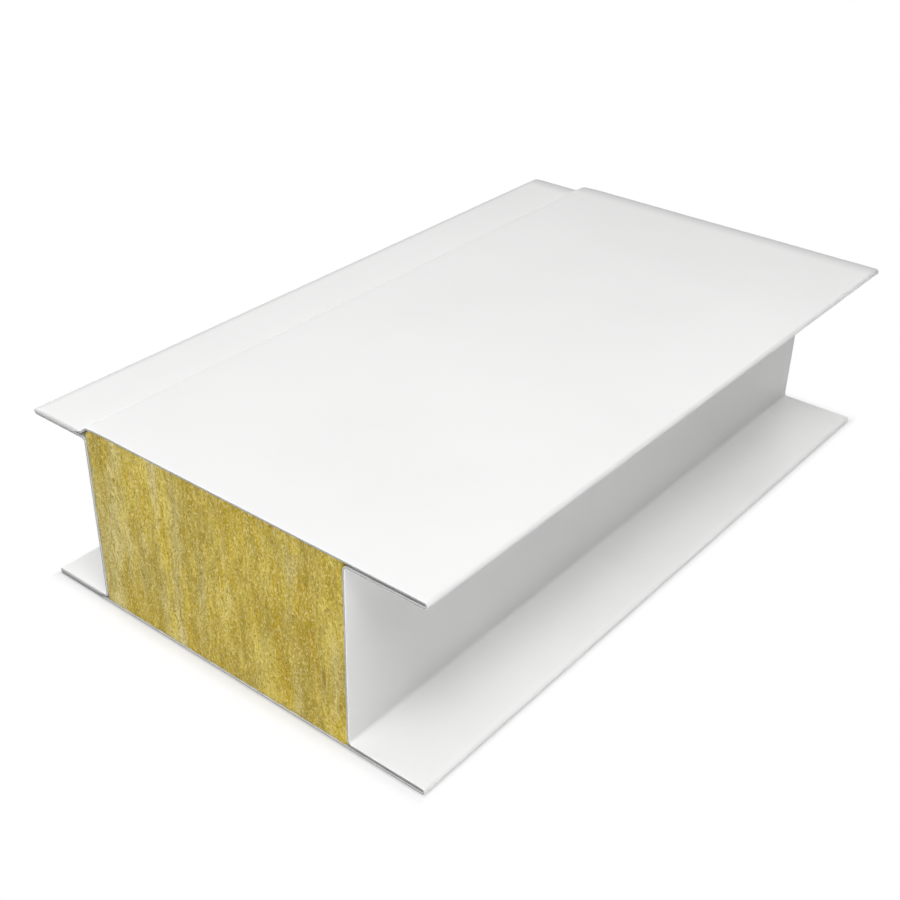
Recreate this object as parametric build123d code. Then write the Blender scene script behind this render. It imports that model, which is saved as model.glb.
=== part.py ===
from build123d import *
import math
import os

# Cleanroom panel sample: two roll-formed steel skins on a rock wool core.
# Millimetres, X across the panel, Y along it, Z up.
# The origin is the centre of the bottom face.

# Overall sizes
panel_width = 119.0
panel_length = 200.0
panel_thickness = 50.0

# Side grooves: how far the flanges stand out past the webs
left_overhang = 18.0
right_overhang = 21.0

# Painted steel sheet and the way it is bent
sheet_thickness = 0.6
hem_gap = 0.6
web_bend_radius = 0.8

# Lap step: the left flange of the top skin lies lower, under a neighbour's flange
lap_clearance = 0.2
step_run = 2.0
step_inset = 1.0
step_bend_radius = 2.0

# Room between the trimmed corner of the core and the lap step
core_clearance = 0.15

# A hem is the sheet folded back over an open gap
hem_thickness = 2 * sheet_thickness + hem_gap
hem_radius = hem_thickness / 2
lap_step = hem_thickness + lap_clearance

# Places across the panel
left_edge = -panel_width / 2
right_edge = panel_width / 2
left_web = left_edge + left_overhang
right_web = right_edge - right_overhang
step_top = left_web + step_inset
seam_height = panel_thickness / 2

# Height of the painted face of each flange
top_face = panel_thickness
lap_face = panel_thickness - lap_step
bottom_face = 0.0


def folded_side(edge, web, face_height):
    """Draw the painted line of one long side, from its hem to the seam at mid-height."""
    outward = math.copysign(1, edge - web)
    inward = math.copysign(1, seam_height - face_height)
    turn = edge - outward * hem_radius
    leaf_height = face_height + inward * hem_thickness
    hem_middle = (edge, face_height + inward * hem_radius)
    ThreePointArc((turn, face_height), hem_middle, (turn, leaf_height))
    FilletPolyline(
        (turn, leaf_height),
        (web, leaf_height),
        (web, seam_height),
        radius=web_bend_radius,
    )


def extruded(section):
    """Run a cross-section through the length of the panel."""
    return extrude(section.sketch, amount=panel_length / 2, both=True)


def top_skin():
    """Top face with a plain hem on the right and the lap step and hem on the left."""
    with BuildSketch(Plane.XZ) as section:
        with BuildLine():
            folded_side(right_edge, right_web, top_face)
            FilletPolyline(
                (right_edge - hem_radius, top_face),
                (step_top, top_face),
                (step_top - step_run, lap_face),
                (left_edge + hem_radius, lap_face),
                radius=step_bend_radius,
            )
            folded_side(left_edge, left_web, lap_face)
            offset(amount=sheet_thickness, side=Side.RIGHT)
        make_face()
    return extruded(section)


def bottom_skin():
    """Bottom face with a plain hem on each side."""
    with BuildSketch(Plane.XZ) as section:
        with BuildLine():
            folded_side(right_edge, right_web, bottom_face)
            Line((right_edge - hem_radius, bottom_face), (left_edge + hem_radius, bottom_face))
            folded_side(left_edge, left_web, bottom_face)
            offset(amount=sheet_thickness, side=Side.LEFT)
        make_face()
    return extruded(section)


def rock_wool_core():
    """Block that fills the space between the webs, with one corner trimmed under the lap step."""
    core_left = left_web + sheet_thickness
    core_right = right_web - sheet_thickness
    core_bottom = bottom_face + sheet_thickness
    core_top = top_face - sheet_thickness
    step_slope = lap_step / step_run
    bend_reach = step_bend_radius * math.tan(math.atan(step_slope) / 2)
    trim_start = step_top + bend_reach + core_clearance
    trim_end = core_top - (trim_start - core_left) * step_slope
    with BuildSketch(Plane.XZ) as section:
        with BuildLine():
            Polyline(
                (core_left, core_bottom),
                (core_right, core_bottom),
                (core_right, core_top),
                (trim_start, core_top),
                (core_left, trim_end),
                close=True,
            )
        make_face()
    return extruded(section)


pieces = {
    "top_skin": top_skin(),
    "bottom_skin": bottom_skin(),
    "rock_wool_core": rock_wool_core(),
}
os.makedirs("parts", exist_ok=True)
for name, piece in pieces.items():
    export_step(piece, f"parts/{name}.step")
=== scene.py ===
import logging
import math
from dataclasses import dataclass, field
from enum import Enum
from typing import Any

import bpy
import numpy as np
from mathutils import Matrix, Vector


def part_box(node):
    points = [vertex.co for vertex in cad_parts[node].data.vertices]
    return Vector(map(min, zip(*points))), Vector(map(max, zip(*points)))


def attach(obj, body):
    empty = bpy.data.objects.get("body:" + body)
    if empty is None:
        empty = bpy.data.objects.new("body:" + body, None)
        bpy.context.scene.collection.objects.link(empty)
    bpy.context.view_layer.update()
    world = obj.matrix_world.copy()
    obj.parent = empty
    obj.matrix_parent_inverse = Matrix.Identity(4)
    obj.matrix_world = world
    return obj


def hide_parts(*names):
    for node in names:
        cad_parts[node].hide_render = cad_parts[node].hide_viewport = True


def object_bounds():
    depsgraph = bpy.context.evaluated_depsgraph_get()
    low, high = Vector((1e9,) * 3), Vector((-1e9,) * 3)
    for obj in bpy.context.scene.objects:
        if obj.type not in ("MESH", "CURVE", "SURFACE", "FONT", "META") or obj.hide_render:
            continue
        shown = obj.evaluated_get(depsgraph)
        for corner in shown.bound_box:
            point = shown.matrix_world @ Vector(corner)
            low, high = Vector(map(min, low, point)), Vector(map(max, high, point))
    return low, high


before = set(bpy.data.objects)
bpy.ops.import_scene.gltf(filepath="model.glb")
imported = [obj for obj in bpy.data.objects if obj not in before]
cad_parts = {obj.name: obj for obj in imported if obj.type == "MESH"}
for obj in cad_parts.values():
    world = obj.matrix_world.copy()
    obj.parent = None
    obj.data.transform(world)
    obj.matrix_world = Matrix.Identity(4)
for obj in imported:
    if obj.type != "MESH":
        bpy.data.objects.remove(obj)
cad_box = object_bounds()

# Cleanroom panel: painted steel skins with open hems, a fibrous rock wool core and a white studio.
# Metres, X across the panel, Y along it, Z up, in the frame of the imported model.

MM = 0.001
log = logging.getLogger("panel")

# A triple is a place, a size or a factor along three axes.
# A span is a pair of sizes, or where a look starts and where it is full.
Colour = tuple[float, float, float]
Triple = tuple[float, float, float]
Span = tuple[float, float]
Feed = Any


@dataclass(frozen=True)
class Signal:
    """A shader value that takes part in Python arithmetic.

    Args:
        shader: The node tree that the value lives in.
        socket: The output socket that carries it.
    """

    shader: "Shader"
    socket: bpy.types.NodeSocket

    def _math(self, operation: str, *feeds: Feed) -> "Signal":
        """Add one Math node and return its result."""
        inputs = dict(enumerate(feeds))
        return self.shader.add("ShaderNodeMath", {"operation": operation}, inputs)

    def __add__(self, other: Feed) -> "Signal":
        """Return self + other."""
        return self._math("ADD", self, other)

    __radd__ = __add__

    def __sub__(self, other: Feed) -> "Signal":
        """Return self - other."""
        return self._math("SUBTRACT", self, other)

    def __rsub__(self, other: Feed) -> "Signal":
        """Return other - self."""
        return self._math("SUBTRACT", other, self)

    def __mul__(self, other: Feed) -> "Signal":
        """Return self * other."""
        return self._math("MULTIPLY", self, other)

    __rmul__ = __mul__

    def __pow__(self, other: Feed) -> "Signal":
        """Return self ** other."""
        return self._math("POWER", self, other)

    def __rpow__(self, other: Feed) -> "Signal":
        """Return other ** self."""
        return self._math("POWER", other, self)

    def __abs__(self) -> "Signal":
        """Return the absolute value."""
        return self._math("ABSOLUTE", self)

    def highest(self, other: Feed) -> "Signal":
        """Return the larger of the two values."""
        return self._math("MAXIMUM", self, other)

    def step(self, low: float, high: float) -> "Signal":
        """Rise smoothly from 0 at low to 1 at high.

        Args:
            low: Where the rise starts.
            high: Where the rise ends.

        Returns:
            The smoothed value, from 0 to 1.
        """
        settings = {"interpolation_type": "SMOOTHSTEP"}
        inputs = {0: self, 1: low, 2: high, 3: 0.0, 4: 1.0}
        return self.shader.add("ShaderNodeMapRange", settings, inputs)


class Shader:
    """The node tree of one material or of the world."""

    def __init__(self, tree: bpy.types.NodeTree) -> None:
        """Start from an empty tree.

        Args:
            tree: The node tree to fill.
        """
        self.tree = tree
        tree.nodes.clear()

    def add(self, kind: str, settings: dict[str, Any], inputs: dict[Any, Feed], output: int = 0) -> Signal:
        """Add a node, set it up, then feed its sockets.

        Args:
            kind: Blender's type name of the node.
            settings: The node's own properties, or a ramp's stops as (place, colour) pairs.
            inputs: Values or signals for the sockets, by name or by number.
            output: Number of the output socket that is returned.

        Returns:
            The chosen output as a signal.
        """
        node = self._node(kind, settings, inputs)
        return Signal(self, node.outputs[output])

    def _node(self, kind: str, settings: dict[str, Any], inputs: dict[Any, Feed]) -> bpy.types.Node:
        """Make a node, apply its settings, then feed its sockets.

        Args:
            kind: Blender's type name of the node.
            settings: The node's own properties, or a ramp's stops.
            inputs: Values or signals for the sockets, by name or by number.

        Returns:
            The node.
        """
        node = self.tree.nodes.new(kind)
        for name, value in settings.items():
            if name == "stops":
                self._set_stops(node.color_ramp, value)
            else:
                setattr(node, name, value)
        for key, feed in inputs.items():
            self._connect(node.inputs[key], feed)
        return node

    def _connect(self, socket: bpy.types.NodeSocket, feed: Feed) -> None:
        """Link a signal to a socket, or set the socket's own value.

        Args:
            socket: The input socket.
            feed: A signal, a colour, a vector or a number.
        """
        if isinstance(feed, Signal):
            self.tree.links.new(feed.socket, socket)
        elif isinstance(feed, tuple) and socket.type == "RGBA":
            socket.default_value = (*feed, 1.0)
        else:
            socket.default_value = feed

    @staticmethod
    def _set_stops(ramp: bpy.types.ColorRamp, stops: list[tuple[float, Colour]]) -> None:
        """Give a colour ramp its stops.

        Args:
            ramp: The ramp.
            stops: Place from 0 to 1 and colour of each stop.
        """
        while len(ramp.elements) < len(stops):
            ramp.elements.new(1.0)
        for element, (place, colour) in zip(ramp.elements, stops):
            element.position = place
            element.color = (*colour, 1.0)

    def place(self, scale: Triple = (1.0, 1.0, 1.0)) -> Signal:
        """Return the place in the part's own frame, in metres, stretched along each axis.

        Args:
            scale: Factor along X, Y and Z. A small one draws the pattern out.

        Returns:
            The stretched place as a vector.
        """
        here = self.add("ShaderNodeTexCoord", {}, {}, output=3)
        return self.stretch(here, scale)

    def stretch(self, where: Signal, scale: Triple) -> Signal:
        """Stretch a place along each axis.

        Args:
            where: The place.
            scale: Factor along X, Y and Z.

        Returns:
            The stretched place.
        """
        return self.add("ShaderNodeVectorMath", {"operation": "MULTIPLY"}, {0: where, 1: scale})

    def axis(self, where: Signal, number: int) -> Signal:
        """Return one coordinate of a place, by the number of its axis."""
        return self.add("ShaderNodeSeparateXYZ", {}, {0: where}, output=number)

    def wander(self, where: Signal, size: float, reach: float) -> Signal:
        """Push a place about, so that what is drawn there winds.

        Args:
            where: The place.
            size: Width of one swing, in metres.
            reach: How far the place is pushed, in metres.

        Returns:
            The moved place.
        """
        settings = {"Vector": where, "Scale": 1.0 / size, "Detail": 2.0}
        cloud = self.add("ShaderNodeTexNoise", {}, settings, output=1)
        inputs = {0: cloud, 1: (reach, reach, reach), 2: where}
        return self.add("ShaderNodeVectorMath", {"operation": "MULTIPLY_ADD"}, inputs)

    def noise(self, where: Signal, size: float, detail: float = 3.0, roughness: float = 0.5) -> Signal:
        """Return cloudy noise from 0 to 1.

        Args:
            where: The place that the noise is read at.
            size: Width of the largest clouds, in metres.
            detail: Number of finer layers.
            roughness: Share of the finer layers.

        Returns:
            The noise value.
        """
        inputs = {"Vector": where, "Scale": 1.0 / size, "Detail": detail, "Roughness": roughness}
        return self.add("ShaderNodeTexNoise", {}, inputs)

    def mix(self, share: Feed, first: Feed, second: Feed, blend: str = "MIX") -> Signal:
        """Mix two colours.

        Args:
            share: Share of the second colour.
            first: First colour.
            second: Second colour.
            blend: Blender's name of the way the colours are mixed.

        Returns:
            The mixed colour.
        """
        settings = {"data_type": "RGBA", "blend_type": blend, "clamp_factor": True}
        return self.add("ShaderNodeMix", settings, {0: share, 6: first, 7: second}, output=2)

    def bump(self, height: Signal, distance: float, strength: float = 1.0) -> Signal:
        """Turn a height from 0 to 1 into a normal.

        Args:
            height: The height.
            distance: What a height of 1 stands for, in metres.
            strength: How much of the bump shows.

        Returns:
            The bent normal.
        """
        inputs = {"Strength": strength, "Distance": distance, "Height": height}
        return self.add("ShaderNodeBump", {}, inputs)

    def seen(self, mirror_share: Feed = 1.0) -> Signal:
        """Return 1 for rays that show white surroundings: from the camera, a mirror or glass.

        Args:
            mirror_share: How white the surroundings are in a mirror.

        Returns:
            The share of white.
        """
        camera, mirrored, through = (self.add("ShaderNodeLightPath", {}, {}, output=n) for n in (0, 3, 6))
        return camera.highest(mirrored * mirror_share).highest(through)

    def finish(self, surface: Signal, kind: str = "ShaderNodeOutputMaterial") -> None:
        """Send the surface to the output."""
        self._node(kind, {}, {"Surface": surface})


@dataclass
class PanelSection:
    """Cross-section of the panel: how the sheet is bent and where the webs stand."""

    width: float
    thickness: float
    length: float
    left_overhang: float = 18 * MM
    right_overhang: float = 21 * MM
    sheet: float = 0.6 * MM
    hem_gap: float = 0.6 * MM
    web_bend: float = 0.8 * MM
    lap_clearance: float = 0.2 * MM
    step_run: float = 2.0 * MM
    step_inset: float = 1.0 * MM
    step_bend: float = 2.0 * MM
    core_clearance: float = 0.15 * MM

    @property
    def hem(self) -> float:
        """Thickness of a hemmed flange."""
        return 2 * self.sheet + self.hem_gap

    @property
    def lap_step(self) -> float:
        """How far the lap flange lies below the top face."""
        return self.hem + self.lap_clearance

    @property
    def lap_face(self) -> float:
        """Height of the lap flange's painted face."""
        return self.thickness - self.lap_step

    @property
    def lap_leaf(self) -> float:
        """Height of the lap flange's inner leaf, on its lower side."""
        return self.lap_face - self.hem

    @property
    def step_middle(self) -> float:
        """Place across the panel of the middle of the lap step."""
        return self.left_web + self.step_inset - self.step_run / 2

    @property
    def step_slope(self) -> float:
        """Angle of the lap step, in radians."""
        return math.atan2(self.lap_step, self.step_run)

    @property
    def step_tangent(self) -> float:
        """How far each bend of the lap step reaches from its corner."""
        return self.step_bend * math.tan(self.step_slope / 2)

    @property
    def left_web(self) -> float:
        """Outer face of the left web."""
        return -self.width / 2 + self.left_overhang

    @property
    def right_web(self) -> float:
        """Outer face of the right web."""
        return self.width / 2 - self.right_overhang


def new_material(name: str) -> tuple[bpy.types.Material, Shader]:
    """Make an empty node material.

    Args:
        name: Name of the material.

    Returns:
        The material and its shader.
    """
    material = bpy.data.materials.new(name)
    material.use_nodes = True
    return material, Shader(material.node_tree)


@dataclass(frozen=True)
class SheetFinish:
    """A finish of the bent sheet, which looks different on the left flanges.

    Args:
        section: Where the webs, the flanges and the lap step are.
        left_fade: How far left of the left web the change starts, and where it is full.
    """

    section: PanelSection
    left_fade: Span = (0.5 * MM, 2.5 * MM)

    def left_part(self, across: Signal) -> Signal:
        """Return 1 on the left flanges of the panel, and 0 from the left web on."""
        web = self.section.left_web
        return across.step(web - self.left_fade[0], web - self.left_fade[1])


@dataclass(frozen=True)
class CoilCoating(SheetFinish):
    """White coil coating with a faint orange peel, with painted light along the lap step and painted shade
    along its left, back and left front edges.
    """

    name: str = "white_coil_coating"
    colour: Colour = (0.87, 0.87, 0.865)
    dull_colour: Colour = (0.84, 0.84, 0.835)
    dull_span: Span = (0.35, 0.75)
    # Colour of the painted light along the lap step.
    painted_step_light: Colour = (0.95, 0.95, 0.945)
    step_band_gloss: float = 0.2
    step_band_reach: Span = (1.7 * MM, 0.5 * MM)
    upper_depth: Span = (3.0 * MM, 2.3 * MM)
    # Colour of the painted shade along the edges.
    painted_edge_shade: Colour = (0.62, 0.62, 0.62)
    left_shade_width: float = 2.8 * MM
    back_shade_width: float = 7 * MM
    back_shade_past: float = 1 * MM
    front_shade_reach: Span = (0.3 * MM, 0.1 * MM)
    front_shade_share: float = 0.5
    cloud_size: float = 60 * MM
    peel_size: float = 1.6 * MM
    peel_depth: float = 0.004 * MM
    roughness: float = 0.38
    roughness_spread: float = 0.08
    specular: float = 0.35
    coat: float = 0.05
    coat_roughness: float = 0.2

    def make(self) -> bpy.types.Material:
        """Build the shader.

        Returns:
            The material.
        """
        material, shader = new_material(self.name)
        here = shader.place()
        clouds = shader.noise(here, self.cloud_size, detail=4.0)
        peel = shader.noise(here, self.peel_size, detail=2.0)
        roughness = self.roughness + (clouds - 0.5) * self.roughness_spread
        colour = shader.mix(clouds.step(*self.dull_span), self.colour, self.dull_colour)
        across, along, height = (shader.axis(here, number) for number in range(3))
        cut = self.section
        upper = height.step(*(cut.thickness - depth for depth in self.upper_depth))
        # Painted light: the coating is lighter along the lap step, whose bend lies in shade; it is also
        # glossier there.
        step_band = abs(across - cut.step_middle).step(*self.step_band_reach) * upper
        # Painted shade: the coating is darker along the left edge, the back edge and the left flanges' front
        # edge.
        left_edge_shade = (across + cut.width / 2).step(self.left_shade_width, 0.0)
        back_edge_shade = (cut.length / 2 - along).step(self.back_shade_width, -self.back_shade_past)
        front_edge_shade = (along + cut.length / 2).step(*self.front_shade_reach) * self.front_shade_share
        edge_shade = (left_edge_shade.highest(back_edge_shade) * upper).highest(front_edge_shade * self.left_part(across))
        colour = shader.mix(edge_shade, colour, self.painted_edge_shade)
        surface = shader.add("ShaderNodeBsdfPrincipled", {}, {
            "Base Color": shader.mix(step_band, colour, self.painted_step_light),
            "Roughness": roughness - step_band * self.step_band_gloss,
            "Specular IOR Level": self.specular,
            "Coat Weight": self.coat,
            "Coat Roughness": self.coat_roughness,
            "Normal": shader.bump(peel, self.peel_depth),
        })
        shader.finish(surface)
        return material


@dataclass(frozen=True)
class BackCoat(SheetFinish):
    """Thin primer on the hidden side of the sheet, which shows inside the hems, with painted light on the
    left flanges.
    """

    name: str = "grey_back_coat"
    colour: Colour = (0.60, 0.60, 0.59)
    worn_colour: Colour = (0.50, 0.50, 0.49)
    # Colour of the painted light on the left flanges.
    painted_left_light: Colour = (0.86, 0.86, 0.85)
    patch_size: float = 5 * MM
    worn_span: Span = (0.4, 0.7)
    patch_depth: float = 0.01 * MM
    roughness: float = 0.55
    roughness_spread: float = 0.1

    def make(self) -> bpy.types.Material:
        """Build the shader.

        Returns:
            The material.
        """
        material, shader = new_material(self.name)
        here = shader.place()
        patches = shader.noise(here, self.patch_size, detail=4.0)
        colour = shader.mix(patches.step(*self.worn_span), self.colour, self.worn_colour)
        # Painted light: on the left flanges the hidden side is paler, so the left hems' gaps look less
        # shaded.
        surface = shader.add("ShaderNodeBsdfPrincipled", {}, {
            "Base Color": shader.mix(self.left_part(shader.axis(here, 0)), colour, self.painted_left_light),
            "Roughness": self.roughness + patches * self.roughness_spread,
            "Normal": shader.bump(patches, self.patch_depth),
        })
        shader.finish(surface)
        return material


@dataclass(frozen=True)
class ShearedSteel(SheetFinish):
    """Bare zinc-coated steel at a sheared edge, with fine marks, and on the left painted shade with painted
    light towards the top of each hem.
    """

    name: str = "sheared_steel_edge"
    colour: Colour = (0.32, 0.32, 0.335)
    bright_colour: Colour = (0.46, 0.46, 0.475)
    # Colours of the painted shade and the painted light on the left.
    painted_left_shade: Colour = (0.23, 0.23, 0.235)
    painted_top_light: Colour = (0.80, 0.80, 0.795)
    top_light_share: float = 0.9
    lower_hem_light: Span = (0.3 * MM, 2.2 * MM)
    web_light_end: Span = (10 * MM, 40 * MM)
    lap_light_shift: float = 0.1 * MM
    mark_size: float = 0.25 * MM
    mark_stretch: Triple = (1.0, 0.2, 0.2)
    mark_span: Span = (0.35, 0.65)
    mark_depth: float = 0.02 * MM
    metallic: float = 0.3
    roughness: float = 0.42
    roughness_spread: float = 0.15

    def make(self) -> bpy.types.Material:
        """Build the shader.

        Returns:
            The material.
        """
        material, shader = new_material(self.name)
        here = shader.place()
        marks = shader.noise(shader.stretch(here, self.mark_stretch), self.mark_size)
        colour = shader.mix(marks.step(*self.mark_span), self.colour, self.bright_colour)
        # Painted shade: on the left flanges the bare edge is darker.
        left = self.left_part(shader.axis(here, 0))
        colour = shader.mix(left, colour, self.painted_left_shade)
        # Painted light: on the left the edge is lighter towards the top of each hem and low on the web's
        # end, as if lit from above.
        height = shader.axis(here, 2)
        lap_height = height + self.lap_light_shift
        lap = lap_height.step(self.section.lap_leaf, self.section.lap_face)
        top_light = height.step(*self.lower_hem_light) - height.step(*self.web_light_end) + lap
        surface = shader.add("ShaderNodeBsdfPrincipled", {}, {
            "Base Color": shader.mix(left * top_light * self.top_light_share, colour, self.painted_top_light),
            "Metallic": self.metallic,
            "Roughness": self.roughness + marks * self.roughness_spread,
            "Normal": shader.bump(marks, self.mark_depth),
        })
        shader.finish(surface)
        return material


@dataclass(frozen=True)
class Streaks:
    """Noise that is drawn out along the height of the wool.

    Args:
        size: Width of the largest streaks.
        drawn: Factor on the height. A small one makes long streaks.
        detail: Number of finer layers.
        roughness: Share of the finer layers.
    """

    size: float
    drawn: float
    detail: float = 2.0
    roughness: float = 0.5

    def at(self, shader: Shader, where: Signal) -> Signal:
        """Return the noise at a place."""
        drawn_out = shader.stretch(where, (1.0, 1.0, self.drawn))
        return shader.noise(drawn_out, self.size, self.detail, self.roughness)


@dataclass(frozen=True)
class Tone:
    """A colour that is laid over the wool where a noise is high or low.

    Args:
        colour: The colour.
        start: Level of the noise where the tone starts.
        full: Level of the noise where it is full.
        share: Share of the colour where it is full.
        blend: Blender's name of the way it is mixed.
    """

    colour: Colour
    start: float
    full: float
    share: float = 1.0
    blend: str = "MIX"

    def over(self, shader: Shader, noise: Signal, under: Feed) -> Signal:
        """Return the colour under it with the tone laid over."""
        return shader.mix(noise.step(self.start, self.full) * self.share, under, self.colour, self.blend)


@dataclass(frozen=True)
class RockWool:
    """Yellow mineral wool: upright bands richer or poorer in binder, under a grain of fine fibre ends."""

    name: str = "rock_wool"
    seam_layer: str = "seam"
    winding: Span = (9 * MM, 3 * MM)
    curling: Span = (1.6 * MM, 0.7 * MM)
    bands: Streaks = Streaks(3.2 * MM, 0.1)
    veils: Streaks = Streaks(4.2 * MM, 0.12)
    clouds: Streaks = Streaks(11 * MM, 0.3)
    layers: Streaks = Streaks(2.2 * MM, 0.16, roughness=0.6)
    strands: Streaks = Streaks(0.9 * MM, 0.14, 3.0, 0.6)
    grain: Streaks = Streaks(0.36 * MM, 0.5, 3.0, 0.6)
    cloud_share: float = 0.6
    base: Colour = (0.545, 0.43, 0.08)
    rich: Tone = Tone((0.535, 0.385, 0.032), 0.46, 0.6)
    pale: Tone = Tone((0.535, 0.46, 0.185), 0.49, 0.66)
    lift: Tone = Tone((1.24, 1.27, 1.5), 0.49, 0.6, blend="MULTIPLY")
    fall: Tone = Tone((0.74, 0.71, 0.55), 0.5, 0.4, blend="MULTIPLY")
    strand_shade: Tone = Tone((0.33, 0.245, 0.03), 0.5, 0.34, 0.5)
    strand_glint: Tone = Tone((0.76, 0.65, 0.27), 0.52, 0.68, 0.35)
    grain_shade: Tone = Tone((0.33, 0.245, 0.03), 0.48, 0.34, 0.95)
    grain_glint: Tone = Tone((0.76, 0.65, 0.27), 0.52, 0.66, 0.9)
    seam: Colour = (0.46, 0.28, 0.015)
    seam_share: float = 0.8
    roughness: float = 0.95
    specular: float = 0.1
    grain_relief: float = 0.75
    relief_depth: float = 0.18 * MM
    relief_strength: float = 0.85

    def make(self) -> bpy.types.Material:
        """Build the shader.

        Returns:
            The material.
        """
        material, shader = new_material(self.name)
        here = shader.place()
        winding = shader.wander(here, *self.winding)
        layers_wanted = (self.bands, self.veils, self.clouds, self.layers, self.strands)
        bands, veils, clouds, layers, strands = (streaks.at(shader, winding) for streaks in layers_wanted)
        grain = self.grain.at(shader, shader.wander(here, *self.curling))
        seams = shader.add("ShaderNodeAttribute", {"attribute_name": self.seam_layer}, {}, output=2)
        patches = clouds * self.cloud_share + layers * (1 - self.cloud_share)
        colour = self.rich.over(shader, bands, self.base)
        colour = self.pale.over(shader, veils, colour)
        colour = self.lift.over(shader, patches, colour)
        colour = self.fall.over(shader, patches, colour)
        colour = self.strand_shade.over(shader, strands, colour)
        colour = self.strand_glint.over(shader, strands, colour)
        # Darker colour along the clefts and pits, following their shape.
        colour = shader.mix(seams * self.seam_share, colour, self.seam)
        colour = self.grain_shade.over(shader, grain, colour)
        colour = self.grain_glint.over(shader, grain, colour)
        relief = grain * self.grain_relief + strands * (1 - self.grain_relief)
        surface = shader.add("ShaderNodeBsdfPrincipled", {}, {
            "Base Color": colour,
            "Roughness": self.roughness,
            "Specular IOR Level": self.specular,
            "Normal": shader.bump(relief, self.relief_depth, self.relief_strength),
        })
        shader.finish(surface)
        return material


@dataclass(frozen=True)
class WoolFibre:
    """Loose mineral fibres, each with a tone of its own between olive and pale straw."""

    name: str = "wool_fibre"
    tone_layer: str = "tone"
    tones: tuple[tuple[float, Colour], ...] = (
        (0.0, (0.40, 0.30, 0.05)),
        (0.4, (0.56, 0.43, 0.09)),
        (0.75, (0.68, 0.57, 0.2)),
        (1.0, (0.8, 0.73, 0.38)),
    )
    spot_size: float = 1.2 * MM
    spot_span: Span = (0.5, 0.8)
    spot_share: float = 0.3
    roughness: float = 0.6
    specular: float = 0.3

    def make(self) -> bpy.types.Material:
        """Build the shader.

        Returns:
            The material.
        """
        material, shader = new_material(self.name)
        tone = shader.add("ShaderNodeAttribute", {"attribute_name": self.tone_layer}, {}, output=2)
        ramp = shader.add("ShaderNodeValToRGB", {"stops": list(self.tones)}, {0: tone})
        spots = shader.noise(shader.place(), self.spot_size).step(*self.spot_span) * self.spot_share
        surface = shader.add("ShaderNodeBsdfPrincipled", {}, {
            "Base Color": shader.mix(spots, ramp, self.tones[0][1]),
            "Roughness": self.roughness,
            "Specular IOR Level": self.specular,
        })
        shader.finish(surface)
        return material


def ripple(rng: np.random.Generator, across: np.ndarray, along: np.ndarray, cell: Span) -> np.ndarray:
    """Return smooth random relief around 0, mostly within 0.5 either way, on a plane.

    Args:
        rng: Source of the random slopes.
        across: First coordinate of each point, in metres.
        along: Second coordinate of each point, in metres.
        cell: Size of one swell along the two coordinates, in metres.

    Returns:
        The relief at each point.
    """
    u = (across - across.min()) / cell[0]
    v = (along - along.min()) / cell[1]
    slopes = rng.normal(0.0, 1.0, (int(u.max()) + 2, int(v.max()) + 2, 2))
    i, j = u.astype(int), v.astype(int)
    s, t = u - i, v - j

    def corner(k: int, m: int) -> np.ndarray:
        """Return the plane that one corner of the cell spans."""
        slope = slopes[i + k, j + m]
        return slope[..., 0] * (s - k) + slope[..., 1] * (t - m)

    ease_s, ease_t = (w * w * w * (w * (6 * w - 15) + 10) for w in (s, t))
    low = corner(0, 0) * (1 - ease_s) + corner(1, 0) * ease_s
    high = corner(0, 1) * (1 - ease_s) + corner(1, 1) * ease_s
    return low * (1 - ease_t) + high * ease_t


@dataclass
class Piece:
    """A mesh under construction: points, faces and the finish of each face."""

    name: str
    points: list[np.ndarray] = field(default_factory=list)
    faces: list[tuple[int, ...]] = field(default_factory=list)
    finishes: list[int] = field(default_factory=list)
    count: int = 0

    def add_points(self, points: np.ndarray) -> np.ndarray:
        """Add points and return their numbers, shaped as the points are.

        Args:
            points: Array of places, with X, Y and Z last.

        Returns:
            The number of each point.
        """
        flat = points.reshape(-1, 3)
        numbers = np.arange(self.count, self.count + len(flat)).reshape(points.shape[:-1])
        self.points.append(flat)
        self.count += len(flat)
        return numbers

    def add_grid(self, numbers: np.ndarray, finish: int = 0, flip: bool = False) -> None:
        """Add the quads between the rows of one or more grids of points.

        Args:
            numbers: Point numbers, in rows.
            finish: Number of the material.
            flip: Whether the faces look the other way.
        """
        corners = (
            numbers[..., :-1, :-1],
            numbers[..., 1:, :-1],
            numbers[..., 1:, 1:],
            numbers[..., :-1, 1:],
        )
        quads = np.stack(corners, -1).reshape(-1, 4)
        if flip:
            quads = quads[:, ::-1]
        self.faces.extend(map(tuple, quads.tolist()))
        self.finishes.extend([finish] * len(quads))

    def make(self, materials: list[bpy.types.Material], slot: str, crease: float = 35.0) -> bpy.types.Object:
        """Make the Blender object, which rides on the panel's body.

        Args:
            materials: One material for each finish number.
            slot: Name of the record's material slot. Not used.
            crease: Angle past which an edge stays sharp, in degrees.

        Returns:
            The object.
        """
        mesh = bpy.data.meshes.new(self.name)
        mesh.from_pydata(np.concatenate(self.points).tolist(), [], self.faces)
        mesh.polygons.foreach_set("material_index", self.finishes)
        mesh.polygons.foreach_set("use_smooth", [True] * len(self.faces))
        for material in materials:
            mesh.materials.append(material)
        mesh.set_sharp_from_angle(angle=math.radians(crease))
        mesh.validate()
        obj = bpy.data.objects.new(self.name, mesh)
        bpy.context.scene.collection.objects.link(obj)
        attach(obj, "root")
        log.info("%s: %d points, %d faces", self.name, self.count, len(self.faces))
        return obj


class Finish(Enum):
    """Finishes of the steel sheet, in the order of its material slots."""

    COATING = 0
    BACK = 1
    CUT = 2


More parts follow.
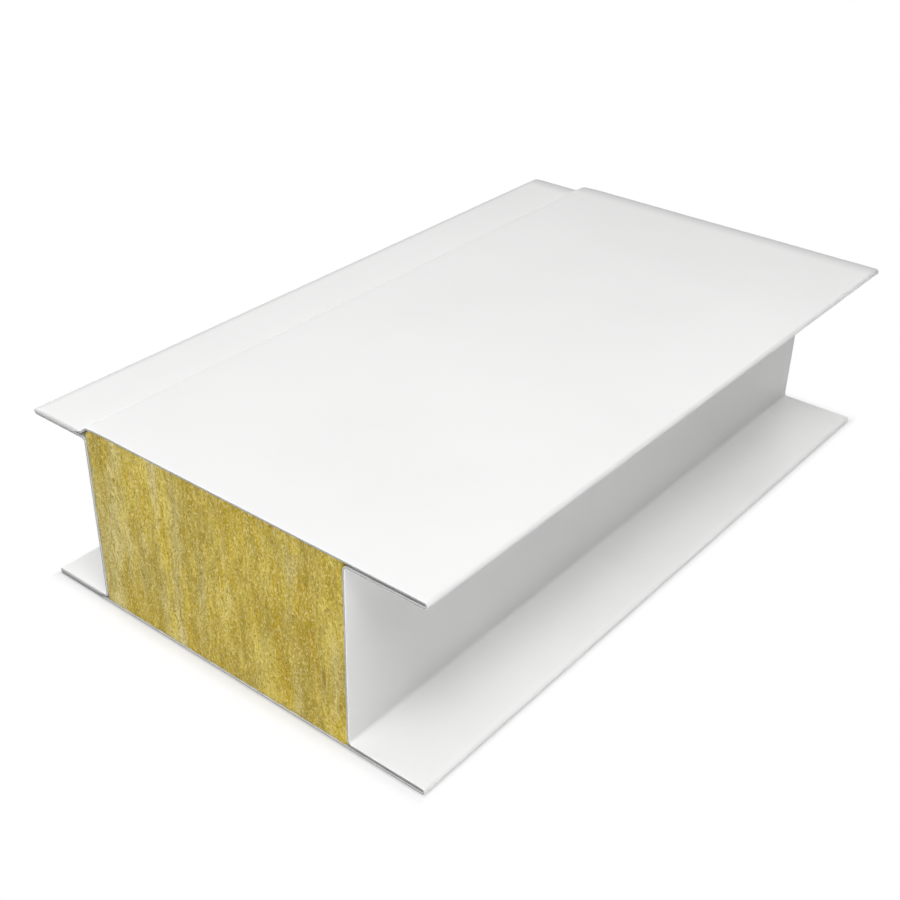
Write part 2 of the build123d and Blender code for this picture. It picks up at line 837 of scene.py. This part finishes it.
class SheetPath:
    """The painted line of a bent sheet, drawn as straight runs and tangent bends."""

    ARC_STEP = math.radians(9)

    def __init__(self, start: Span, heading: float, spacing: float) -> None:
        """Start the line.

        Args:
            start: First point of the line, across and up.
            heading: First direction, in degrees from the X axis.
            spacing: Longest gap between points on a straight run.
        """
        self.points = [np.array(start)]
        self.headings = [math.radians(heading)]
        self.spacing = spacing

    def run(self, length: float) -> None:
        """Go straight on.

        Args:
            length: Length of the run.
        """
        heading = self.headings[-1]
        start = self.points[-1]
        direction = np.array((math.cos(heading), math.sin(heading)))
        parts = max(1, math.ceil(length / self.spacing))
        for part in range(1, parts + 1):
            self.points.append(start + direction * length * part / parts)
            self.headings.append(heading)

    def bend(self, angle: float, radius: float) -> None:
        """Turn through an angle, positive to the left, on an arc of a radius.

        Args:
            angle: Angle of the bend, in degrees.
            radius: Radius of the painted line.
        """
        turn = math.radians(angle)
        side = math.copysign(1, turn)
        heading = self.headings[-1]
        centre = self.points[-1] + side * radius * np.array((-math.sin(heading), math.cos(heading)))
        parts = math.ceil(abs(turn) / self.ARC_STEP)
        for part in range(1, parts + 1):
            now = heading + turn * part / parts
            self.points.append(centre + side * radius * np.array((math.sin(now), -math.cos(now))))
            self.headings.append(now)

    def sides(self, sheet: float) -> tuple[np.ndarray, np.ndarray]:
        """Return the painted side and the back of the sheet, which lies to the left of the line.

        Args:
            sheet: Thickness of the sheet.

        Returns:
            The points of the two sides.
        """
        outer = np.array(self.points)
        headings = np.array(self.headings)
        normals = np.stack((-np.sin(headings), np.cos(headings)), -1)
        return outer, outer + normals * sheet


@dataclass
class SteelSkin:
    """One roll-formed skin of the panel, from lip to lip, with its hems and webs."""

    section: PanelSection
    node: str
    name: str
    stepped: bool
    roll_over: float = 0.12 * MM
    roll_over_steps: int = 3
    swell_depth: float = 0.05 * MM
    step_sag: float = 0.3 * MM
    step_sag_reach: float = 8 * MM
    edge_droop: float = 0.3 * MM
    edge_droop_reach: float = 2.6 * MM
    back_droop: float = 0.15 * MM
    back_droop_reach: float = 4 * MM
    swell_cell: Span = (38 * MM, 55 * MM)
    swell_inset: float = 4 * MM
    swell_rise: float = 12 * MM
    seed: int = 11
    hem_mouth: float = 1.6 * MM
    hem_mouth_fade: float = 0.8 * MM
    straight_spacing: float = 2 * MM
    station_spacing: float = 5 * MM
    end_margin: float = 0.6 * MM
    end_steps: int = 8

    def path(self) -> SheetPath:
        """Draw the painted line, from the lip of the right web to the lip of the left one.

        Returns:
            The line, as it runs in the top skin.
        """
        cut = self.section
        edge = cut.width / 2
        radius = cut.hem / 2
        rise = cut.thickness / 2 - cut.hem - cut.web_bend
        step = cut.lap_step if self.stepped else 0.0
        slope = math.degrees(cut.step_slope)
        tangent = cut.step_tangent
        line = SheetPath((cut.right_web, cut.thickness / 2), 90, self.straight_spacing)
        line.run(rise)
        line.bend(-90, cut.web_bend)
        line.run(edge - radius - cut.right_web - cut.web_bend)
        line.bend(180, radius)
        if self.stepped:
            bend_place = cut.left_web + cut.step_inset
            line.run(edge - radius - bend_place - tangent)
            line.bend(slope, cut.step_bend)
            line.run(math.hypot(cut.lap_step, cut.step_run) - 2 * tangent)
            line.bend(-slope, cut.step_bend)
            line.run(bend_place - cut.step_run - tangent + edge - radius)
        else:
            line.run(2 * (edge - radius))
        line.bend(180, radius)
        line.run(cut.left_web - cut.web_bend + edge - radius)
        line.bend(-90, cut.web_bend)
        line.run(rise - step)
        return line

    def stations(self) -> tuple[np.ndarray, np.ndarray]:
        """Place the sections along the panel, and draw the sheet in where shearing rounds its ends.

        Returns:
            The places of the sections, and how far each side of the sheet is drawn in there.
        """
        half = self.section.length / 2
        turns = np.linspace(math.pi / 2, 0.0, self.roll_over_steps + 1)
        ends = half - self.roll_over * (1 - np.sin(turns))
        insets = self.roll_over * (1 - np.cos(turns))
        flat = half - self.end_margin * self.end_steps
        margin = np.linspace(flat, half - self.roll_over, self.end_steps, endpoint=False)[1:]
        middle = np.linspace(-flat, flat, math.ceil(2 * flat / self.station_spacing))
        inner = np.concatenate((-margin[::-1], middle, margin))
        places = np.concatenate((-ends, inner, ends[::-1]))
        return places, np.concatenate((insets, np.zeros(len(inner)), insets[::-1]))

    def make(self, materials: list[bpy.types.Material]) -> bpy.types.Object:
        """Build the skin's mesh.

        Args:
            materials: The coating, the back coat and the cut edge.

        Returns:
            The skin.
        """
        outer, back = self.path().sides(self.section.sheet)
        stations, insets = self.stations()
        across, along = np.broadcast_arrays(outer[None, :, 0], stations[:, None])
        swell = ripple(np.random.default_rng(self.seed), across, along, self.swell_cell)
        sag = self.swell_depth * (0.5 + swell).clip(0.0, 1.0) * self._flat_share(outer) + self._sag(outer)
        inward = (back - outer) / self.section.sheet
        piece = Piece(self.name)
        sides = []
        for side, direction in ((outer, inward), (back, -inward)):
            drawn = side[None] + direction[None] * insets[:, None, None]
            height = drawn[..., 1] - sag - self._back_sag(drawn[..., 1], stations)
            if side is back:
                height = self._close_left_hem(back, stations, height)
            if not self.stepped:
                height = self.section.thickness - height
            sides.append(piece.add_points(np.stack((drawn[..., 0], along, height), -1)))
        painted, hidden = sides
        flip = not self.stepped
        piece.add_grid(painted, Finish.COATING.value, flip)
        piece.add_grid(hidden, Finish.BACK.value, not flip)
        for end, far in ((0, True), (-1, False)):
            piece.add_grid(np.stack((painted[end], hidden[end])), Finish.CUT.value, flip != far)
        for lip, far in ((0, False), (-1, True)):
            piece.add_grid(np.stack((painted[:, lip], hidden[:, lip])), Finish.CUT.value, flip != far)
        skin = piece.make(materials, "painted_steel")
        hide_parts(self.node)
        return skin

    def _sag(self, outer: np.ndarray) -> np.ndarray:
        """Work out how far each point lies low, where the top face falls to the step and to its left edge.

        Args:
            outer: Points of one section, across and up.

        Returns:
            How far each point lies low.
        """
        if not self.stepped:
            return np.zeros(len(outer))
        cut = self.section
        bend_place = cut.left_web + cut.step_inset
        near_step = np.clip(1 - (outer[:, 0] - bend_place) / self.step_sag_reach, 0.0, 1.0)
        above_lap = np.clip((outer[:, 1] - cut.lap_face) / cut.lap_step, 0.0, 1.0)
        near_edge = np.clip(1 - (outer[:, 0] + cut.width / 2) / self.edge_droop_reach, 0.0, 1.0)
        above_leaf = np.clip((outer[:, 1] - cut.lap_leaf) / cut.hem, 0.0, 1.0)
        return self.step_sag * near_step ** 2 * above_lap + self.edge_droop * near_edge ** 2 * above_leaf

    def _back_sag(self, height: np.ndarray, stations: np.ndarray) -> np.ndarray:
        """Work out how far the top skin is drawn down at its sheared back end, most at its top.

        Args:
            height: Height of each point in each section.
            stations: Places of the sections along the panel.

        Returns:
            How far each point is drawn down.
        """
        if not self.stepped:
            return np.zeros_like(height)
        middle = self.section.thickness / 2
        near_end = np.clip(1 - (self.section.length / 2 - stations) / self.back_droop_reach, 0.0, 1.0)
        return self.back_droop * near_end[:, None] ** 2 * np.clip((height - middle) / middle, 0.0, 1.0)

    def _close_left_hem(self, back: np.ndarray, stations: np.ndarray, height: np.ndarray) -> np.ndarray:
        """Bring the hidden side of the left hem together at the panel's ends, where paint closes it.

        Args:
            back: Points of the sheet's hidden side, across and up.
            stations: Places of the sections along the panel.
            height: Height of each point in each section.

        Returns:
            The heights, with the left hem closed at both ends.
        """
        cut = self.section
        level = (cut.lap_face if self.stepped else cut.thickness) - cut.hem / 2
        middle = np.stack((back[:, 0], np.full(len(back), level)), -1)
        closed = level - self._sag(middle) - self._back_sag(np.full_like(height, level), stations)
        near_end = np.clip(1 - (cut.length / 2 - np.abs(stations)) / self.roll_over, 0.0, 1.0)
        in_hem = np.clip((cut.left_web - self.hem_mouth - back[:, 0]) / self.hem_mouth_fade, 0.0, 1.0)
        return height + (closed - height) * near_end[:, None] * in_hem

    def _flat_share(self, outer: np.ndarray) -> np.ndarray:
        """Work out how far each point of the line takes part in the swell of the wide face.

        Args:
            outer: Points of the painted line, across and up.

        Returns:
            The share of each point, from 0 to 1.
        """
        on_face = np.abs(outer[:, 1] - self.section.thickness) < self.section.sheet / 2
        inset = np.minimum(outer[:, 0] - self.section.left_web, self.section.width / 2 - outer[:, 0])
        return on_face * np.clip((inset - self.swell_inset) / self.swell_rise, 0.0, 1.0)


@dataclass(frozen=True)
class Cleft:
    """A narrow upright hollow in a bare end of the wool, where two layers part.

    Args:
        across: Place of its middle across the panel, as a share of the end's width.
        up: Height of its middle, as a share of the end's height.
        width: Width at its middle.
        height: Length from tip to tip.
        depth: Depth at its middle.
        darkening: How much darker the colour is along it, from 0 to 1.
    """

    across: float
    up: float
    width: float
    height: float
    depth: float
    darkening: float


@dataclass
class WoolSlab:
    """The rock wool core, with fibrous relief on its two bare ends."""

    section: PanelSection
    low: Vector
    high: Vector
    node: str = "rock_wool_core"
    seam_layer: str = "seam"
    cell: float = 0.3 * MM
    recess: float = 0.03 * MM
    relief: float = 0.55 * MM
    border: float = 0.4 * MM
    border_depth: float = 0.12 * MM
    seed: int = 23
    clefts: tuple[Cleft, ...] = (
        Cleft(0.885, 0.42, 1.5 * MM, 34 * MM, 0.22 * MM, 0.75),
        Cleft(0.905, 0.31, 0.8 * MM, 6 * MM, 0.7 * MM, 1.0),
        Cleft(0.845, 0.78, 1.1 * MM, 13 * MM, 0.3 * MM, 0.8),
        Cleft(0.665, 0.6, 1.3 * MM, 16 * MM, 0.15 * MM, 0.5),
        Cleft(0.385, 0.7, 1.0 * MM, 12 * MM, 0.2 * MM, 0.6),
        Cleft(0.345, 0.2, 1.6 * MM, 14 * MM, 0.15 * MM, 0.4),
        Cleft(0.125, 0.78, 0.9 * MM, 1.4 * MM, 0.5 * MM, 0.5),
    )
    pits: int = 60
    smallest_pit: Triple = (0.4 * MM, 0.6 * MM, 0.1 * MM)
    largest_pit: Triple = (0.8 * MM, 3.0 * MM, 0.4 * MM)
    pit_darkening: float = 0.3
    sway: float = 2.4 * MM
    sway_cell: Span = (30 * MM, 9 * MM)
    steepness: float = 1.2
    drift: float = 5 * MM
    drift_cell: Span = (14 * MM, 16 * MM)
    swells: tuple[tuple[float, Span], ...] = (
        (0.22, (4.5 * MM, 16 * MM)),
        (0.22, (1.7 * MM, 7 * MM)),
        (0.26, (0.9 * MM, 2.6 * MM)),
    )
    grain: float = 0.30
    grain_cell: Span = (0.62 * MM, 1.0 * MM)
    middle_level: float = 0.35

    def left_side(self, height: np.ndarray) -> np.ndarray:
        """Find the left side of the core, with the corner trimmed under the lap step.

        Args:
            height: Heights.

        Returns:
            The place of the left side at each height.
        """
        cut = self.section
        trim_start = cut.left_web + cut.step_inset + cut.step_tangent + cut.core_clearance
        trim = trim_start - (self.high.z - height) / math.tan(cut.step_slope)
        return np.maximum(self.low.x, trim)

    def grid(self) -> tuple[np.ndarray, np.ndarray]:
        """Lay out the points of an end.

        Returns:
            The places of the points, across and up.
        """
        columns = math.ceil((self.high.x - self.low.x) / self.cell)
        rows = math.ceil((self.high.z - self.low.z) / self.cell)
        share = np.linspace(0.0, 1.0, columns)[:, None]
        up = np.broadcast_to(np.linspace(self.low.z, self.high.z, rows)[None, :], (columns, rows))
        left = self.left_side(up)
        return left + share * (self.high.x - left), up

    def hollows(
        self, rng: np.random.Generator, across: np.ndarray, up: np.ndarray
    ) -> tuple[np.ndarray, np.ndarray]:
        """Work out the clefts and the small pits of an end.

        Args:
            rng: Source of the pits' places and sizes.
            across: Places across the panel.
            up: Heights.

        Returns:
            The depth of the hollows, and how much darker the colour is along them.
        """
        low, high = self.low, self.high
        sway = ripple(rng, across, up, self.sway_cell) * self.sway
        depth = np.zeros_like(across)
        darkening = np.zeros_like(across)
        small = [
            Cleft(*rng.random(2), *rng.uniform(self.smallest_pit, self.largest_pit), self.pit_darkening)
            for _ in range(self.pits)
        ]
        for cleft in (*self.clefts, *small):
            x = (across + sway - low.x - cleft.across * (high.x - low.x)) / (cleft.width / 2)
            z = (up - low.z - cleft.up * (high.z - low.z)) / (cleft.height / 2)
            shape = np.exp(-self.steepness * x * x) * np.clip(1 - z * z, 0.0, 1.0)
            depth = np.maximum(depth, cleft.depth * shape)
            darkening = np.maximum(darkening, cleft.darkening * shape)
        return depth, darkening

    def depth(self, across: np.ndarray, up: np.ndarray, seed: int) -> tuple[np.ndarray, np.ndarray]:
        """Return how deep each point of an end lies behind the cut plane.

        Args:
            across: Places across the panel.
            up: Heights.
            seed: Seed of the relief.

        Returns:
            The depth of each point, in metres, and the darkening there.
        """
        rng = np.random.default_rng(seed)
        drawn = across + ripple(rng, across, up, self.drift_cell) * self.drift
        rough = sum(share * ripple(rng, drawn, up, cell) for share, cell in self.swells)
        rough = rough + self.grain * ripple(rng, across, up, self.grain_cell)
        inset = np.minimum.reduce((
            across - self.left_side(up),
            self.high.x - across,
            up - self.low.z,
            self.high.z - up,
        ))
        rounding = np.clip(1 - inset / self.border, 0.0, 1.0) ** 2
        hollow, darkening = self.hollows(rng, across, up)
        level = self.relief * np.clip(self.middle_level + rough, 0.0, 1.0)
        return self.recess + level + hollow + self.border_depth * rounding, darkening

    def make(self, material: bpy.types.Material) -> tuple[bpy.types.Object, list[np.ndarray]]:
        """Build the core's mesh.

        Args:
            material: The wool.

        Returns:
            The core and the relief of its front and back ends.
        """
        across, up = self.grid()
        piece = Piece("rock_wool_slab")
        ends = []
        reliefs = []
        darkenings = []
        for number, (face, inward) in enumerate(((self.low.y, 1.0), (self.high.y, -1.0))):
            depth, darkening = self.depth(across, up, self.seed + number)
            reliefs.append(depth)
            darkenings.append(darkening.ravel())
            ends.append(piece.add_points(np.stack((across, face + inward * depth, up), -1)))
        piece.add_grid(ends[0], flip=False)
        piece.add_grid(ends[1], flip=True)
        for front, rear, flip in self._borders(ends):
            piece.add_grid(np.stack((front, rear)), flip=flip)
        slab = piece.make([material], "rock_wool", crease=180.0)
        layer = slab.data.attributes.new(self.seam_layer, "FLOAT", "POINT")
        layer.data.foreach_set("value", np.concatenate(darkenings))
        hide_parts(self.node)
        return slab, reliefs

    @staticmethod
    def _borders(ends: list[np.ndarray]) -> list[tuple[np.ndarray, np.ndarray, bool]]:
        """Pair the borders of the two ends.

        Args:
            ends: Point numbers of the front and the back end.

        Returns:
            The matching borders, and whether the faces between them are flipped.
        """
        front, rear = ends
        return [
            (front[:, 0], rear[:, 0], False),
            (front[:, -1], rear[:, -1], True),
            (front[0], rear[0], True),
            (front[-1], rear[-1], False),
        ]


@dataclass
class LooseFibres:
    """Short curled fibres that lie on a bare end of the core, mostly upright, and cross each other."""

    slab: WoolSlab
    name: str
    end: int
    tone_layer: str = "tone"
    count: int = 5200
    sides: int = 3
    joints: int = 7
    thinnest: float = 0.03 * MM
    thickest: float = 0.075 * MM
    thin_bias: int = 2
    shortest: float = 1.0 * MM
    longest: float = 9 * MM
    short_bias: int = 5
    spread: float = 26.0
    curl: float = 50.0
    margin: float = 0.25 * MM
    lift: float = 0.09 * MM
    tuck: float = 0.12 * MM
    tuck_steepness: int = 3
    clearance: float = 1.1
    tip_angle: float = 0.15
    tone_spread: Span = (2.2, 1.6)
    seed: int = 41

    def make(self, relief: np.ndarray, material: bpy.types.Material) -> bpy.types.Object:
        """Build the fibres of one end as one mesh.

        Args:
            relief: Depth of the end's points behind the cut plane.
            material: The fibre.

        Returns:
            The fibres.
        """
        rng = np.random.default_rng(self.seed + self.end)
        thickness = rng.random(self.count) ** self.thin_bias
        radius = self.thinnest + (self.thickest - self.thinnest) * thickness
        lines = self._lines(rng)
        places = self._lay(rng, lines, relief, radius)
        piece = Piece(self.name)
        self._add_tubes(piece, places, radius)
        fibres = piece.make([material], "rock_wool", crease=180.0)
        tones = rng.beta(*self.tone_spread, self.count)
        layer = fibres.data.attributes.new(self.tone_layer, "FLOAT", "POINT")
        layer.data.foreach_set("value", np.repeat(tones, self.joints * self.sides))
        return fibres

    def _lines(self, rng: np.random.Generator) -> np.ndarray:
        """Draw the fibres' courses on the end, kept inside the webs and the faces.

        Args:
            rng: Source of the fibres' places, lengths and curls.

        Returns:
            The joints of each fibre, across and up.
        """
        low, high = self.slab.low, self.slab.high
        share = np.linspace(0.0, 1.0, self.joints)
        length_share = rng.random(self.count) ** self.short_bias
        length = self.shortest + (self.longest - self.shortest) * length_share
        heading = np.radians(90 + rng.normal(0.0, self.spread, self.count))
        curl = np.radians(rng.normal(0.0, self.curl, self.count))
        turned = heading[:, None] + curl[:, None] * (share - 0.5)
        steps = np.stack((np.cos(turned), np.sin(turned)), -1) * (length / (self.joints - 1))[:, None, None]
        start = rng.uniform((low.x, low.z), (high.x, high.z), (self.count, 2))
        lines = start[:, None] + np.cumsum(steps, 1) - steps.sum(1, keepdims=True) / 2
        up = np.clip(lines[..., 1], low.z + self.margin, high.z - self.margin)
        left = self.slab.left_side(up) + self.margin
        return np.stack((np.clip(lines[..., 0], left, high.x - self.margin), up), -1)

    def _lay(
        self, rng: np.random.Generator, lines: np.ndarray, relief: np.ndarray, radius: np.ndarray
    ) -> np.ndarray:
        """Lay the fibres on the relief, with their tips tucked in.

        Args:
            rng: Source of how far each fibre stands off.
            lines: The fibres' courses on the end.
            relief: Depth of the end's points behind the cut plane.
            radius: Radius of each fibre.

        Returns:
            The fibres' points in space.
        """
        low, high = self.slab.low, self.slab.high
        columns, rows = relief.shape
        left = self.slab.left_side(lines[..., 1])
        column = (lines[..., 0] - left) / (high.x - left) * (columns - 1)
        row = (lines[..., 1] - low.z) / (high.z - low.z) * (rows - 1)
        depth = relief[column.astype(int), row.astype(int)]
        share = np.linspace(0.0, 1.0, self.joints)
        lift = self.lift * rng.random(self.count)[:, None] * np.sin(share * math.pi)
        tuck = self.tuck * np.abs(2 * share - 1) ** self.tuck_steepness
        depth = np.maximum(depth - lift + tuck, radius[:, None] * self.clearance)
        face, inward = (low.y, 1.0) if self.end == 0 else (high.y, -1.0)
        return np.stack((lines[..., 0], face + inward * depth, lines[..., 1]), -1)

    def _add_tubes(self, piece: Piece, places: np.ndarray, radius: np.ndarray) -> None:
        """Add a thin closed tube along each fibre's points.

        Args:
            piece: The mesh under construction.
            places: The points along each fibre.
            radius: Radius of each fibre.
        """
        along = np.gradient(places, axis=1)
        along /= np.linalg.norm(along, axis=-1, keepdims=True).clip(1e-12)
        first = np.cross(along, (0.0, 1.0, 0.0))
        first /= np.linalg.norm(first, axis=-1, keepdims=True).clip(1e-12)
        second = np.cross(along, first)
        taper = np.sin(np.linspace(self.tip_angle, math.pi - self.tip_angle, self.joints)) ** 0.5
        turns = np.arange(self.sides) * 2 * math.pi / self.sides
        around = (
            first[:, :, None] * np.cos(turns)[:, None]
            + second[:, :, None] * np.sin(turns)[:, None]
        )
        reach = radius[:, None, None, None] * taper[:, None, None]
        numbers = piece.add_points(places[:, :, None] + around * reach)
        piece.add_grid(np.concatenate((numbers, numbers[..., :1]), axis=-1), flip=True)
        tips = np.concatenate((numbers[:, 0, ::-1], numbers[:, -1]))
        piece.faces.extend(map(tuple, tips.tolist()))
        piece.finishes.extend([0] * len(tips))


@dataclass(frozen=True)
class StudioFloor:
    """White floor that looks white to the camera, keeps some of the panel's real shadow close to it, and has
    a painted contact shadow.
    """

    width: float
    length: float
    name: str = "studio_floor"
    half_size: float = 6.0
    drop: float = 0.02 * MM
    colour: Colour = (0.95, 0.95, 0.95)
    shadow_share: float = 0.55
    shadow_reach: float = 6 * MM
    side_fade: float = 3.0
    # Share of the painted shadow within a few millimetres of the panel.
    contact_shadow: float = 0.11
    contact_shadow_reach: float = 4 * MM
    # Share of the painted shadow in a thin line right next to the panel.
    crease: float = 0.22
    crease_shadow_reach: float = 0.7 * MM
    lit_side: float = 5 * MM

    def make(self) -> bpy.types.Object:
        """Build the floor and its shader.

        Returns:
            The floor.
        """
        material, shader = new_material(self.name)
        diffuse = shader.add("ShaderNodeBsdfDiffuse", {}, {"Color": self.colour})
        glow = shader.add("ShaderNodeEmission", {}, {"Color": (1.0, 1.0, 1.0), "Strength": 1.0})
        # Black surface that the painted shadow is mixed towards.
        painted_shadow = shader.add("ShaderNodeBsdfDiffuse", {}, {"Color": (0.0, 0.0, 0.0)})
        here = shader.place()
        across, along = shader.axis(here, 0), shader.axis(here, 1)
        past_side = (abs(across) - self.width / 2).highest(0.0) * self.side_fade
        past_end = (abs(along) - self.length / 2).highest(0.0)
        distance = (past_side * past_side + past_end * past_end) ** 0.5
        near = distance.step(self.shadow_reach, 0.0)
        share = shader.seen() * (1 - near * self.shadow_share)
        lit = shader.add("ShaderNodeMixShader", {}, {0: share, 1: diffuse, 2: glow})
        # Painted shadow: close to the panel, on all sides but the right, the floor is mixed towards black.
        painted_shadow_side = across.step(self.width / 2 + self.lit_side, self.width / 2 - self.lit_side)
        foot_shadow = distance.step(self.contact_shadow_reach, 0.0) * self.contact_shadow
        crease = distance.step(self.crease_shadow_reach, 0.0) * self.crease
        contact_shadow = (foot_shadow + crease) * painted_shadow_side
        shader.finish(shader.add("ShaderNodeMixShader", {}, {0: contact_shadow, 1: lit, 2: painted_shadow}))
        reach = self.half_size
        corners = [(-reach, -reach), (reach, -reach), (reach, reach), (-reach, reach)]
        mesh = bpy.data.meshes.new(self.name)
        mesh.from_pydata([(x, y, -self.drop) for x, y in corners], [], [(0, 1, 2, 3)])
        mesh.materials.append(material)
        floor = bpy.data.objects.new(self.name, mesh)
        bpy.context.scene.collection.objects.link(floor)
        return floor


@dataclass(frozen=True)
class SoftLamp:
    """A large soft lamp that looks at one point."""

    name: str
    place: Triple
    target: Triple
    size: float
    power: float

    def make(self) -> bpy.types.Object:
        """Place the lamp and turn it to its target.

        Returns:
            The lamp.
        """
        lamp = bpy.data.lights.new(self.name, "AREA")
        lamp.shape = "DISK"
        lamp.size = self.size
        lamp.energy = self.power
        obj = bpy.data.objects.new(self.name, lamp)
        bpy.context.scene.collection.objects.link(obj)
        obj.location = self.place
        looking = Vector(self.target) - Vector(self.place)
        obj.rotation_mode = "QUATERNION"
        obj.rotation_quaternion = looking.to_track_quat("-Z", "Y")
        return obj


@dataclass(frozen=True)
class Studio:
    """White surroundings, with soft light from above, in front, behind and both sides."""

    section: PanelSection
    zenith: float = 0.17
    horizon: float = 0.5
    distance: float = 0.62
    lamp_size: float = 0.4
    centre: Triple = (0.0, -0.02, 0.03)
    lamps: tuple[tuple[str, float, float, float], ...] = (
        ("key_softbox", 60.0, 55.0, 1.53),
        ("top_softbox", 40.0, 65.0, 1.5),
        ("front_fill", 0.0, 12.0, 1.12),
        ("left_fill", 270.0, 19.0, 1.75),
        ("back_fill", 180.0, 45.0, 0.4),
    )

    def make(self) -> None:
        """Make the world, the lamps and the floor."""
        self._make_world()
        for name, azimuth, elevation, power in self.lamps:
            turn, lift = math.radians(azimuth), math.radians(elevation)
            reach = math.cos(lift)
            aim = Vector((math.sin(turn) * reach, -math.cos(turn) * reach, math.sin(lift)))
            place = Vector(self.centre) + aim * self.distance
            SoftLamp(name, tuple(place), self.centre, self.lamp_size, power).make()
        StudioFloor(self.section.width, self.section.length).make()

    def _make_world(self) -> None:
        """Make surroundings that look white and light the panel mostly from above."""
        world = bpy.data.worlds.new("white_studio")
        bpy.context.scene.world = world
        world.use_nodes = True
        shader = Shader(world.node_tree)
        white, above, below = (
            shader.add("ShaderNodeBackground", {}, {"Color": (1.0, 1.0, 1.0), "Strength": strength})
            for strength in (1.0, self.zenith, 0.0)
        )
        direction = shader.add("ShaderNodeTexCoord", {}, {}, output=0)
        height = shader.axis(direction, 2)
        light = shader.add("ShaderNodeMixShader", {}, {0: height.highest(0.0), 1: below, 2: above})
        share = shader.seen(height.step(0.0, self.horizon))
        surroundings = shader.add("ShaderNodeMixShader", {}, {0: share, 1: light, 2: white})
        shader.finish(surroundings, "ShaderNodeOutputWorld")


@dataclass(frozen=True)
class PhotoCamera:
    """Camera at the photograph's viewing angle, fitted to the panel's edges."""

    place: Triple = (184.6 * MM, -254.7 * MM, 205.3 * MM)
    azimuth: float = 39.43
    elevation: float = 32.75
    roll: float = 0.54
    lens: float = 54.21
    shift: Span = (0.0333, 0.0333)
    sensor: float = 36.0
    clip: Span = (0.01, 50.0)

    def make(self) -> bpy.types.Object:
        """Place the camera and make it the scene's own.

        Returns:
            The camera.
        """
        data = bpy.data.cameras.new("photo_camera")
        data.lens = self.lens
        data.sensor_width = self.sensor
        data.shift_x, data.shift_y = self.shift
        data.clip_start, data.clip_end = self.clip
        camera = bpy.data.objects.new("photo_camera", data)
        bpy.context.scene.collection.objects.link(camera)
        turn, lift, lean = (math.radians(v) for v in (self.azimuth, self.elevation, self.roll))
        back = Vector((
            math.sin(turn) * math.cos(lift),
            -math.cos(turn) * math.cos(lift),
            math.sin(lift),
        ))
        right = Vector((math.cos(turn), math.sin(turn), 0.0))
        up = back.cross(right)
        leaned_right = right * math.cos(lean) + up * math.sin(lean)
        leaned_up = up * math.cos(lean) - right * math.sin(lean)
        rotation = Matrix((leaned_right, leaned_up, back)).transposed().to_4x4()
        camera.matrix_world = Matrix.Translation(Vector(self.place)) @ rotation
        bpy.context.scene.camera = camera
        return camera


def main() -> None:
    """Build the panel's visible pieces, the studio and the camera."""
    logging.basicConfig(level=logging.INFO, format="%(name)s %(message)s")
    bpy.context.scene.view_settings.view_transform = "Standard"
    low, high = cad_box
    section = PanelSection(width=high.x - low.x, thickness=high.z - low.z, length=high.y - low.y)
    steel = [finish(section).make() for finish in (CoilCoating, BackCoat, ShearedSteel)]
    SteelSkin(section, "top_skin", "top_skin_sheet", stepped=True).make(steel)
    SteelSkin(section, "bottom_skin", "bottom_skin_sheet", stepped=False, seed=12).make(steel)
    slab = WoolSlab(section, *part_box("rock_wool_core"))
    _, reliefs = slab.make(RockWool().make())
    fibre = WoolFibre().make()
    for end, name in enumerate(("front_fibres", "back_fibres")):
        LooseFibres(slab, name, end).make(reliefs[end], fibre)
    Studio(section).make()
    PhotoCamera().make()


if __name__ == "__main__":
    main()
